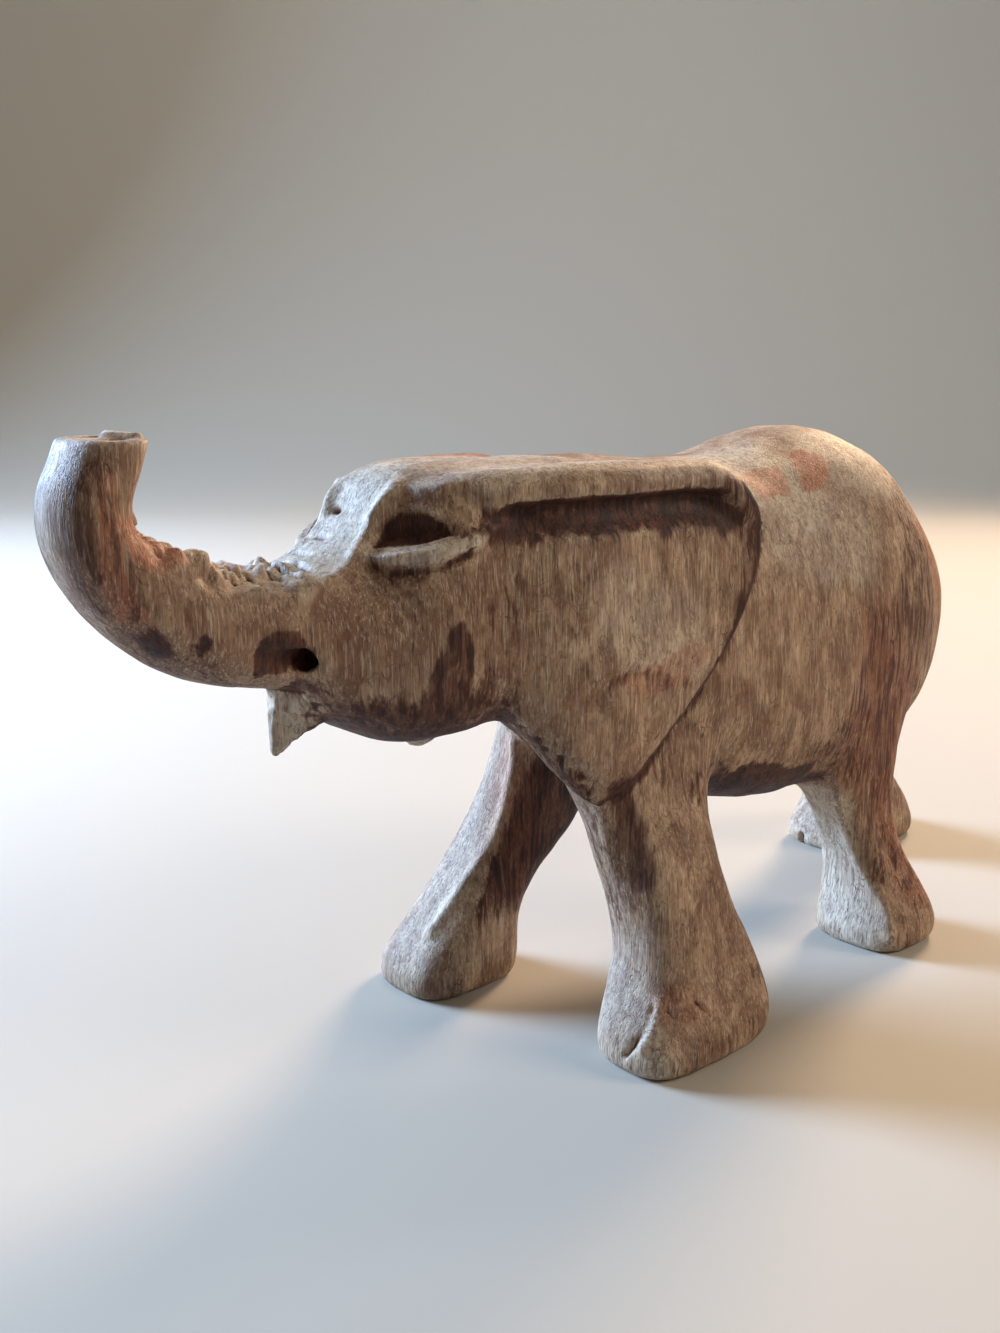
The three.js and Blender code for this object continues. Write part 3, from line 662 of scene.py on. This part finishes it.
# %% Stain and painted shade that follow the form
# Stain and painted shade where the wood faces down.
underneath = ramp(-normal[:, 2] + 0.12 * blur, 0.35, 0.75) * ramp(spots[:, 2], 24, 34) * (spots[:, 0] > -104)
stain_and_shade = np.maximum(stain_and_shade, 0.95 * underneath)
# Painted shade on the faces that the legs turn to each other.
inner_legs = ramp(normal[:, 0] * 0.8 + 0.25 * blur, 0.1, 0.7) * (1 - ramp(spots[:, 2], 40, 52))
stain_and_shade = np.maximum(stain_and_shade, 0.5 * inner_legs * ramp(spots[:, 2], 4, 16))
# Painted shade on the back of the far foreleg.
far_foreleg = (spots[:, 1] > 4) * (spots[:, 0] < -12)
far_leg_back = ramp(spots[:, 0] - 0.47 * spots[:, 2] + 0.5 * blur, -62.8, -60.8) * far_foreleg
stain_and_shade = np.maximum(stain_and_shade, 0.85 * far_leg_back * (1 - ramp(spots[:, 2], 40, 60)) * ramp(spots[:, 2], 6, 18))
# Stain that dripped down the haunch; its lower part also stands for painted shade.
haunch = [(6.4, -22.7, 64.2), (4.9, -23.5, 52.8), (-1.5, -22.8, 45.5), (-11, -22.4, 42.6), (-3.1, -19.3, 37.1),
          (5.6, -20, 31.6), (9.5, -21.4, 29.2), (21, -21, 32), (27, -20, 47), (34, -19, 60), (30, -18, 70),
          (17, -20, 72)]
drips = unevenness(spots * (1, 1, 0.14), 1.9, 23)
for side in both_sides(haunch):
    stain_and_shade = np.maximum(stain_and_shade, 0.62 * ramp(inset(spots, side, 12) + 3.2 * drips + blur, -1.2, 2.8))
hind_side = ramp(spots[:, 0] + 0.4 * spots[:, 2] + 1.2 * blur, 18, 20.5) * ramp(-normal[:, 1], 0, 0.4)
hind_side *= (spots[:, 1] < -8) * (spots[:, 0] > 0) * (1 - ramp(spots[:, 2], 34, 44)) * ramp(spots[:, 2], 1, 9)
stain_and_shade = np.maximum(stain_and_shade, 0.5 * hind_side)
# The fronts of two legs, lit by the window light, and the tip of the far ear are kept clear of stain and painted shade.
far_foreleg_front = [(-47.5, 21, 42), (-52, 20, 30), (-59, 20, 18), (-66, 20, 6)]
far_ear_tip = [(-62.5, 17.5, 46), (-61.4, 19.5, 44.6)]
for kept_clear in (far_foreleg_front, far_ear_tip, [(8, -15, 30), (9, -15, 14), (10, -20, 2)]):
    stain_and_shade *= 1 - 0.85 * rope(spots, kept_clear, 6)
# Stain and painted shade gather in every hollow.
stain_and_shade = np.clip(stain_and_shade + 0.55 * ramp(small_hollow, 0.05, 0.35) + 0.35 * ramp(large_hollow, 0.2, 1.2), 0, 1)
print("stain covers", round(float((stain_and_shade > 0.4).mean()) * 100), "per cent of the surface")

# %% [markdown]
# ## Washed, bleached and lit places
# A thin wash of the same stain is left over most of the wood, deeper on the trunk, the jaw, the haunch and the ear's
# rim, and thinner in the middle of the ear, where it is a painted highlight on the ear's swell. Along the near front
# edge of the trunk the deeper wash is painted shade.

# %% Wash, with painted shade and a painted highlight
washed_lines = [  # line, radius, how much is added or taken
    ([(-125, -7, 90), (-122, -8, 80), (-110, -9, 72), (-95, -12, 70), (-82, -17, 66)], 9, 0.45),
    ([(-62, -20, 50), (-54, -22, 40), (-52, -22, 26)], 6, 0.3),
    ([(10, -22, 70), (6, -23, 50), (16, -22, 36), (22, -23, 18)], 9, 0.3),
    ([(-44, -26, 90), (-32, -25, 86), (-33, -24, 72)], 5, 0.45),
    ([(-58, -24, 93), (-46, -25, 92), (-38, -26, 91)], 3.5, 0.4),
    # Painted highlight: a thinner wash on the ear's swell.
    ([(-60, -25, 72), (-50, -26, 70)], 11, -0.35),
    # Painted shade along the near side of the trunk's front edge.
    ([(-131, -4.5, 98), (-132.5, -4, 87), (-128.5, -4, 78), (-122, -3.5, 72)], 3.4, 0.5),
]
wash = 0.45 + 0.45 * blotch
for line, radius, amount in washed_lines:
    for side in both_sides(line):
        wash += amount * rope(spots, side, radius)
wash = np.clip(wash, 0, 1)
print("mean wash is", round(float(wash.mean()), 2))

# %% [markdown]
# Where hands took the stain off again, the wood is bleached: on the back, the toes and the lip, and on every worn edge.
# The same pale layer also
# carries painted light: faces turned forwards towards the cool window light, faces turned up at the front end, the
# forehead, the lid, the top of the ear's rim, the ear's swell, the fronts of two legs and the rump's rear edge are made
# paler where light falls on them.

# %% Bleached places and painted light
# Painted light: faces turned towards the cool window light, and faces turned up at the front end, are made paler.
bleach_and_light = 0.5 * ramp(normal @ (-0.9, 0.43, 0) + 0.1 * blur, 0.75, 0.97)
bleach_and_light = np.maximum(bleach_and_light, 0.5 * ramp(normal[:, 2] + 0.15 * blur, 0.6, 0.95) * (spots[:, 0] < -52))
bleached_and_lit_lines = [  # line, radius, strength
    ([(-27, -14, 90), (-12, -12, 90), (-8, -16, 85)], 7, 0.8),
    # Painted light on the front of the near hind leg, where the window light falls.
    ([(8, -15, 27), (10, -15, 14), (10, -21, 2)], 5.5, 1.0),
    ([(-57, -22, 9), (-56, -26, 2)], 7, 0.5),
    # Painted light on the front of the far foreleg.
    (far_foreleg_front, 5, 0.6),
    ([(-30, -8, 92), (-20, -6, 94), (-10, -6, 96)], 6, 0.7),
    (far_ear_tip, 2.5, 0.9),
    # Painted highlights along the rump's rear edge and across its top.
    ([(34, -14, 84), (40, -12, 72), (42, -12, 62)], 4, 0.6),
    ([(8, -12, 91), (20, -12, 89), (30, -13, 84)], 7, 0.6),
    ([(-14, -21, 82), (2, -22, 78)], 8, 0.5),
    ([(52, 15, 8), (52, 15, 0)], 6, 0.7),
    # Painted highlight on the ear's swell.
    ([(-58, -25, 74), (-49, -26, 68)], 6.5, 0.4),
    ([(-102, -1.5, 62), (-102.4, -0.5, 56)], 1.6, 0.8),
    ([(-100.6, -3.4, 62.4), (-100.8, -1.8, 58)], 3.8, 0.8),
    # Painted highlight on the lid.
    ([(-91, -7.6, 83.6), (-88, -12, 83), (-84.5, -15.4, 83.6), (-80.4, -17.4, 85.2)], 1.4, 0.7),
    # Painted light on the top of the ear's rim.
    ([(-77, -16, 94), (-50, -24, 94), (-38, -24, 93)], 2.6, 0.55),
]
for line, radius, strength in bleached_and_lit_lines:
    bleach_and_light = np.maximum(bleach_and_light, strength * ramp(rope(spots, line, radius) + 0.22 * blotch, 0.1, 0.8))
# The forehead facet: worn pale, and painted light where the window light falls on it.
facet = [(-79.2, -3, 94.5), (-85.2, -5.9, 91.7), (-87.3, -5.9, 89.4), (-88.7, -5.5, 87.4), (-90.8, -5.6, 84.4),
         (-93.4, -7.1, 82.1), (-97.8, -7.5, 80.4), (-103.5, -7.6, 79.3)]
facet += [(x, -y, z) for x, y, z in reversed(facet)]
bleach_and_light = np.maximum(bleach_and_light, 0.95 * ramp(inset(spots, facet, 9) + 0.25 * blur, -0.4, 0.5))
# Less painted light on the trunk's left side, so the lit strip along its front stays narrow.
bleach_and_light *= 1 - 0.7 * ramp(-spots[:, 1], 0, 2.5) * (spots[:, 0] < -113)  # less on the trunk's left side
worn = 0.35 * ramp(-small_hollow, 0.06, 0.3) * (1 - rope(spots, beside(ear_edge, 0, 25.6), 3))
bleach_and_light = np.clip(bleach_and_light * (1 - 0.9 * stain_and_shade) + worn, 0, 1)
print("bleached", round(float((bleach_and_light > 0.4).mean()) * 100), "per cent of the surface")

# %% [markdown]
# ## Ruddy places
# Here and there the finish wore through and the wood glows reddish: two patches on the back, the inner bend of the
# trunk, the ear's swell, the rear edge of the rump and parts of the legs. They are placed like the stain. Then all
# four layers are stored on the mesh by name, where the material will find them.

# %% Ruddy places, and all layers stored
ruddy = np.zeros(len(spots))
ruddy_patches = [  # corners, strength
    ([(-19, -12.6, 89.4), (-13.4, -11.5, 90.6), (-7.6, -12.5, 90.6), (-8.6, -15.8, 86.6), (-17, -16.4, 86)], 0.9),
    ([(-3.2, -10, 92.6), (1.2, -10.3, 93.2), (4.8, -13.1, 91.5), (2.7, -15.4, 88.6), (-1.4, -16.8, 86.4),
      (-5.3, -16.1, 86.9), (-3.7, -13.5, 90.1)], 1.0),
    ([(-127.2, -7.5, 90.8), (-123.8, -5.2, 89.9), (-120.6, -4, 86.3), (-119, -5.6, 84), (-122.4, -8, 84),
      (-126, -7.8, 86)], 0.75),
    ([(-129, -6.5, 96), (-127, -7, 96), (-127, -8, 84), (-124, -8, 78), (-127, -6.4, 78), (-130, -6, 84)], 0.55),
    ([(-60, -25, 64), (-54, -26, 65), (-45, -26, 68), (-41, -26, 66), (-47, -26, 61), (-56, -25.6, 60)], 0.5),
]
for corners, strength in ruddy_patches:
    ruddy = np.maximum(ruddy, strength * ramp(inset(spots, corners, 4) + 0.3 * blur, -0.2, 0.25))
ruddy_lines = [  # line, radius, strength
    ([(34, -17, 78), (38, -15, 70), (40, -14, 60)], 5, 0.6),
    ([(-47, 14, 40), (-44, 13, 30), (-46, 14, 20)], 5, 0.5),
    ([(22, -20, 48), (20, -23, 30), (22, -25, 12)], 6, 0.6),
    ([(12, -22, 58), (10, -22, 44), (14, -21, 38)], 8, 0.45),
    ([(-125, -2, 88), (-120, 0, 84), (-114, 0, 82)], 4, 0.5),
    ([(-52, -29, 12), (-44, -29, 8), (-40, -27, 4)], 3, 0.4),
    ([(-57.2, 20.6, 93.1), (-52.9, 21.4, 93.1), (-45.6, 22.6, 92.9)], 3.5, 0.8),
]
for line, radius, strength in ruddy_lines:
    ruddy = np.maximum(ruddy, strength * rope(spots, line, radius))

for name, values in {"stain_and_shade": stain_and_shade, "bleach_and_light": bleach_and_light, "ruddy": ruddy, "wash": wash}.items():
    layer = carving.data.attributes.new(name, "FLOAT", "POINT")
    layer.data.foreach_set("value", np.asarray(values, np.float32))
    print(name, "covers", round(float((values > 0.4).mean()) * 100), "per cent of the surface")

# %% [markdown]
# ## The wood
# A pale, close-grained hardwood, knife-finished, rubbed with brown stain and a little wax. The eye reads it by three
# things: short dark pores that all run one way, soft brown clouds where the stain soaked in, and a dull satin sheen
# that changes from place to place. All of it is procedural, in millimetres, so it holds at any distance.

# %% Helpers for materials
def linear(hex_colour):
    """Turns an sRGB hex colour into the linear numbers that Blender's sockets take."""
    channels = [int(hex_colour[i:i + 2], 16) / 255 for i in (1, 3, 5)]
    return [c / 12.92 if c <= 0.04045 else ((c + 0.055) / 1.055) ** 2.4 for c in channels] + [1.0]


def add(tree, kind, settings=None, output=0, **inputs):
    """Adds a node, sets its options, links or sets its inputs by name or number, and returns one output."""
    node = tree.nodes.new(kind)
    for name, value in (settings or {}).items():
        setattr(node, name, value)
    for name, value in inputs.items():
        number = name.startswith("in") and name[2:].isdigit()
        socket = node.inputs[int(name[2:])] if number else node.inputs[name.replace("_", " ")]
        if isinstance(value, bpy.types.NodeSocket):
            tree.links.new(value, socket)
        else:
            socket.default_value = value
    return node.outputs[output] if node.outputs else None


def new_material(name):
    material = bpy.data.materials.new(name)
    material.use_nodes = True
    material.node_tree.nodes.clear()
    return material, material.node_tree


# Kinds of node with their options. The last two also name their output for colours.
PRODUCT = "ShaderNodeMath", {"operation": "MULTIPLY", "use_clamp": True}
SUM = "ShaderNodeMath", {"operation": "ADD", "use_clamp": True}
SCALE_AND_ADD = "ShaderNodeMath", {"operation": "MULTIPLY_ADD"}
SMOOTH_STEP = "ShaderNodeMapRange", {"interpolation_type": "SMOOTHSTEP"}
COVER = "ShaderNodeMix", {"data_type": "RGBA"}, 2
SOAK = "ShaderNodeMix", {"data_type": "RGBA", "blend_type": "MULTIPLY"}, 2
print("helpers ready")

# %% [markdown]
# The grain is noise that is squeezed across and stretched along the block, here upright, the way this block stood in
# the tree. Each layer has its size in millimetres: pores 0.55 by 4, pale fibres 0.45 by 15, darker streaks 1.5 by 16,
# clouds of stain 9 by 16, and mottle 2.2 by 3.4. Real pores and fibres are finer, but the picture could not show them.

# %% Weathered, stained hardwood
GRAIN_LEAN = 0.12  # radians that the grain leans off upright

wood, tree = new_material("weathered_stained_hardwood")
place = add(tree, "ShaderNodeTexCoord", output="Object")
in_mm = add(tree, "ShaderNodeVectorMath", {"operation": "SCALE"}, in0=place, Scale=1000.0)


def grain(width, length, detail, roughness, twist):
    """Noise whose blobs are width mm across the grain and length mm along it."""
    squeeze = (1 / width, 1 / width, 1 / length)
    along = add(tree, "ShaderNodeMapping", in0=in_mm, Rotation=(0.0, GRAIN_LEAN, 0.0), Scale=squeeze)
    return add(tree, "ShaderNodeTexNoise", output="Fac", Vector=along, Scale=1.0, Detail=detail, Roughness=roughness,
               Distortion=twist)


def marks(low, high, *size):
    """Only the crests of a grain noise: nothing below low, full above high."""
    return add(tree, *SMOOTH_STEP, Value=grain(*size), in1=low, in2=high)


pores = marks(0.53, 0.68, 0.55, 4.0, 2.0, 0.6, 0.0)
fibres = marks(0.5, 0.66, 0.45, 15.0, 2.0, 0.6, 0.5)
streaks = marks(0.44, 0.66, 1.5, 16.0, 3.0, 0.65, 0.4)
clouds = marks(0.40, 0.62, 9.0, 16.0, 4.0, 0.62, 0.6)
mottle = marks(0.47, 0.63, 2.2, 3.4, 5.0, 0.7, 1.2)
ragged = grain(1.2, 3.0, 4.0, 0.7, 0.5)
print("grain has", len(tree.nodes), "nodes")

# %% [markdown]
# The painted stain, which also holds painted shade, alone would have soft, airbrushed edges. So a ragged noise and the
# streaks are added to it before
# it is cut into two strengths: a first wipe with the lighter painted shade, and the places where it soaked in deep with
# the deepest painted shade. The colours are then laid over each other, bare wood first and the dark pores last, each by
# its own share; the bleached colour among them also lays painted light.

# %% Colours of the wood
PALE_WOOD, BROWN_WOOD = "#c0a486", "#84664f"
# The washed colour also lays painted shade and a painted highlight, and the bleached colour also lays painted light.
WASHED_AND_SHADED, BLEACHED_AND_LIT, RUDDY = "#6e4a36", "#cfc4b2", "#a85a38"
PALE_FIBRE, DARK_STREAK, DARK_MOTTLE, DARK_PORE = "#ecdfc9", "#6b4634", "#5a3726", "#3a2219"
# These two darken by the stain layer, which also holds painted shade.
FIRST_WIPE_AND_SHADE, SOAKED_IN_AND_DEEP_SHADE = "#8e6254", "#84594e"

painted = {name: add(tree, "ShaderNodeAttribute", {"attribute_name": name}, "Fac")
           for name in ("stain_and_shade", "wash", "bleach_and_light", "ruddy")}
raggedness = add(tree, *SUM, in0=add(tree, *PRODUCT, in0=ragged, in1=0.55),
                 in1=add(tree, *PRODUCT, in0=streaks, in1=0.3))
edge_shift = add(tree, *SCALE_AND_ADD, in0=raggedness, in1=1.1, in2=-0.5)
stain_and_shade_edge = add(tree, *SUM, in0=painted["stain_and_shade"], in1=edge_shift)
first_wipe_and_shade = add(tree, *SMOOTH_STEP, Value=stain_and_shade_edge, in1=0.18, in2=0.8)
soaked_in_and_deep_shade = add(tree, *SMOOTH_STEP, Value=stain_and_shade_edge, in1=0.62, in2=1.1)


def lay_over(colour, hex_colour, layer, share):
    """Covers a colour with another where a layer shows, by share of its strength."""
    amount = add(tree, *PRODUCT, in0=layer, in1=share)
    return add(tree, *COVER, in0=amount, in6=colour, in7=linear(hex_colour))


colour = add(tree, *COVER, in0=clouds, in6=linear(PALE_WOOD), in7=linear(BROWN_WOOD))
for hex_colour, layer, share in [(WASHED_AND_SHADED, painted["wash"], 0.6), (BLEACHED_AND_LIT, painted["bleach_and_light"], 0.8),
                                 (RUDDY, painted["ruddy"], 0.76), (PALE_FIBRE, fibres, 0.28),
                                 (DARK_STREAK, streaks, 0.46), (DARK_MOTTLE, mottle, 0.3)]:
    colour = lay_over(colour, hex_colour, layer, share)
colour = add(tree, *SOAK, in0=first_wipe_and_shade, in6=colour, in7=linear(FIRST_WIPE_AND_SHADE))
colour = add(tree, *SOAK, in0=soaked_in_and_deep_shade, in6=colour, in7=linear(SOAKED_IN_AND_DEEP_SHADE))
colour = lay_over(colour, DARK_PORE, pores, 0.46)
print("colours bring it to", len(tree.nodes), "nodes")

# %% [markdown]
# Hairline checks show as thin dark lines that wander, and the swirls of the grain as softer, browner ones. The line
# where a noise crosses one value is just such a wandering line, and a second, broader noise decides which stretches
# of it are seen. Pores and checks are also sunk a little, so that they catch the light. The roughness wanders between
# 0.54 and 0.72, as on wood that was waxed long ago and never polished.

# %% Hairlines, sheen and relief
SWIRL_BROWN, CHECK_BLACK = "#5a3727", "#2f1a12"
RELIEF = 0.0003  # metres of bump for the whole range of the height
WOOD_IOR = 1.45


def hairlines(width, length, thinness, shown):
    """Wandering lines, about length mm long; a lower value of shown lets more of them be seen."""
    centred = add(tree, "ShaderNodeMath", {"operation": "SUBTRACT"}, in0=grain(width, length, 1.5, 0.5, 0.8), in1=0.5)
    off_line = add(tree, "ShaderNodeMath", {"operation": "ABSOLUTE"}, in0=centred)
    line = add(tree, *SMOOTH_STEP, Value=off_line, in1=0.0, in2=thinness, in3=1.0, in4=0.0)
    return add(tree, *PRODUCT, in0=line, in1=marks(shown, shown + 0.1, 7.0, 9.0, 2.0, 0.6, 0.0))


checks = hairlines(6.0, 14.0, 0.008, 0.54)
swirls = hairlines(4.5, 6.5, 0.02, 0.46)
colour = lay_over(colour, SWIRL_BROWN, swirls, 0.5)
colour = lay_over(colour, CHECK_BLACK, checks, 0.75)

height = ragged
for layer, lift in [(pores, -0.6), (checks, -1.0), (fibres, 0.5)]:
    height = add(tree, *SCALE_AND_ADD, in0=layer, in1=lift, in2=height)
relief = add(tree, "ShaderNodeBump", Strength=0.45, Distance=RELIEF, Height=height)
sheen = add(tree, *SMOOTH_STEP, Value=ragged, in1=0.2, in2=0.8, in3=0.72, in4=0.54)

surface = add(tree, "ShaderNodeBsdfPrincipled", Base_Color=colour, Roughness=sheen, Normal=relief, IOR=WOOD_IOR)
add(tree, "ShaderNodeOutputMaterial", Surface=surface)
print("wood has", len(tree.nodes), "nodes")

# %% [markdown]
# The finished carving stands in for the node of the solid that it was made from, takes that node's material slot, and
# moves with the part's only body.

# %% Dress the part
carving.data.materials.clear()
carving.data.materials.append(wood)
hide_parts("elephant")
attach(carving, "root")
print("dressed", carving.name)

# %% [markdown]
# ## Studio
# A sheet of pale paper runs under the carving and curves up behind it, so that no edge shows. Its side profile is a
# short list of points, drawn out sideways.

# %% Paper sweep
PAPER_GREY = "#b6afa3"
FLAT_UNTIL, BEND = 1.1, 0.7  # metres behind the carving where the bend begins, and its radius
HALF_WIDTH, GAP = 3.0, 0.0002  # metres; the gap keeps the paper just clear of the soles

turns = np.linspace(0, np.pi / 2, 12)
profile = [(-2.5, 0.0), *[(FLAT_UNTIL + BEND * np.sin(turn), BEND - BEND * np.cos(turn)) for turn in turns], (1.8, 2.6)]
away = np.array([forward.x, forward.y]) / np.hypot(forward.x, forward.y)
corners = [(*(away * distance + side * HALF_WIDTH * np.array([-away[1], away[0]])), cad_box[0][2] - GAP + rise)
           for distance, rise in profile for side in (1, -1)]
faces = [(i, i + 1, i + 3, i + 2) for i in range(0, len(corners) - 2, 2)]
sheet = bpy.data.meshes.new("paper_sheet")
sheet.from_pydata(corners, [], faces)
sheet.shade_smooth()
floor = bpy.data.objects.new("paper_sheet", sheet)
bpy.context.scene.collection.objects.link(floor)
paper, tree = new_material("pale_matt_paper")
surface = add(tree, "ShaderNodeBsdfPrincipled", Base_Color=linear(PAPER_GREY), Roughness=0.85)
add(tree, "ShaderNodeOutputMaterial", Surface=surface)
floor.data.materials.append(paper)
print("paper sweep has", len(faces), "faces")

# %% [markdown]
# The main light is cool and soft, like a window. It stands behind the carving, past the head, so that it edges the
# trunk, the forehead and the legs with pale blue and leaves the near flank to the brown of the wood. A warm light
# behind the rump does the same from the other side, a weak fill comes from the near side, and a fourth light only
# brightens the paper behind.

# %% Soft lights
def soft_light(name, place, aim, size, watts, hex_colour, spread=180):
    """A round soft light; place, aim and size are in metres, and spread is in degrees."""
    data = bpy.data.lights.new(name, "AREA")
    data.shape = "DISK"
    data.size = size
    data.spread = math.radians(spread)
    data.energy = watts
    data.color = linear(hex_colour)[:3]
    light = bpy.data.objects.new(name, data)
    light.location = place
    light.rotation_euler = (Vector(aim) - Vector(place)).to_track_quat("-Z", "Y").to_euler()
    bpy.context.scene.collection.objects.link(light)


middle = (0, 0, 0.08)  # the carving's middle
soft_light("window_light", (-0.5, 1.06, 0.48), middle, 0.5, 50, "#b9d8ff")
soft_light("warm_back_light", (1.3, 0.4, 0.75), middle, 0.4, 9.5, "#ffdcb8", 110)
soft_light("front_fill", (0.7, -0.9, 0.8), middle, 0.6, 9, "#ffeedd")
soft_light("wall_light", (*(away * 0.7), 2.2), (*(away * 1.8), 0.9), 0.8, 11, "#fff4e6")
ROOM_GREY, ROOM_STRENGTH = "#c4bfb2", 0.3
world = bpy.data.worlds.new("soft_room")
world.use_nodes = True
world.node_tree.nodes["Background"].inputs["Color"].default_value = linear(ROOM_GREY)
world.node_tree.nodes["Background"].inputs["Strength"].default_value = ROOM_STRENGTH
bpy.context.scene.world = world
bpy.context.scene.view_settings.view_transform = "Standard"
